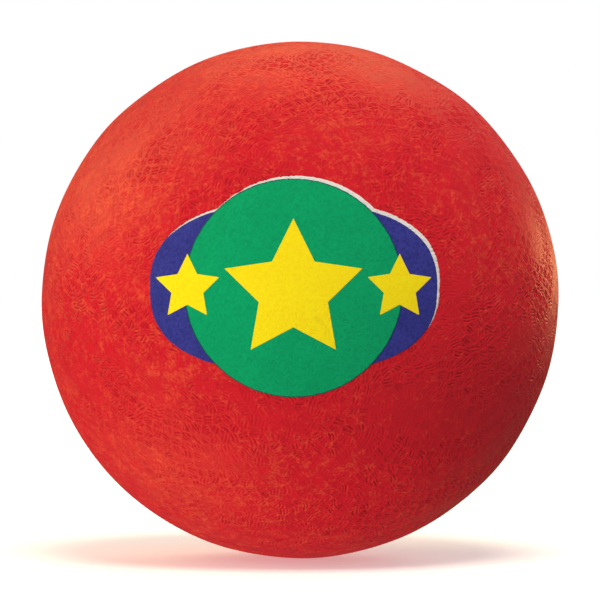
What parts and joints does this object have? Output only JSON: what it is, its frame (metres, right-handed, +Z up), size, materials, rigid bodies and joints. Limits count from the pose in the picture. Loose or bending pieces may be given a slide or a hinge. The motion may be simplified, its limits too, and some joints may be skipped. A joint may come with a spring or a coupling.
{
  "type": "playground ball",
  "caption": "Air-filled ball with a textured moulded rubber cover, inner rubber ply, thread winding, bladder, needle valve with a removable core, and a printed star badge.",
  "frame": {"origin": "the ball's centre", "axes": "+Y along the valve's axis, out of the ball at the valve; the badge faces -Y; +Z up with the badge upright"},
  "size_m": [0.254, 0.2547, 0.254],
  "materials": {
    "red_rubber": "satin moulded grip texture",
    "grey_rubber": "matte",
    "nylon_thread": "wound thread",
    "black_butyl": "smooth satin",
    "patch_rubber": "matte",
    "seat_rubber": "satin",
    "core_rubber": "satin",
    "white_ink": "satin printed film",
    "blue_ink": "satin printed film",
    "green_ink": "satin printed film",
    "yellow_ink": "satin printed film"
  },
  "bodies": {
    "ball": {"outer_cover": "red_rubber", "inner_ply": "grey_rubber", "nylon_winding": "nylon_thread", "bladder": "black_butyl", "valve_patch": "patch_rubber", "valve_seat": "seat_rubber", "badge_white_base": "white_ink", "badge_blue_oval": "blue_ink", "badge_green_disc": "green_ink", "badge_yellow_star": "yellow_ink", "badge_small_star_left": "yellow_ink", "badge_small_star_right": "yellow_ink"},
    "valve_core": {"valve_core": "core_rubber"}
  },
  "joints": [
    {"name": "valve_core_slide", "type": "slide", "parent": "ball", "child": "valve_core", "axis": [0, 1, 0], "range_m": [0, 0.02]}
  ]
}
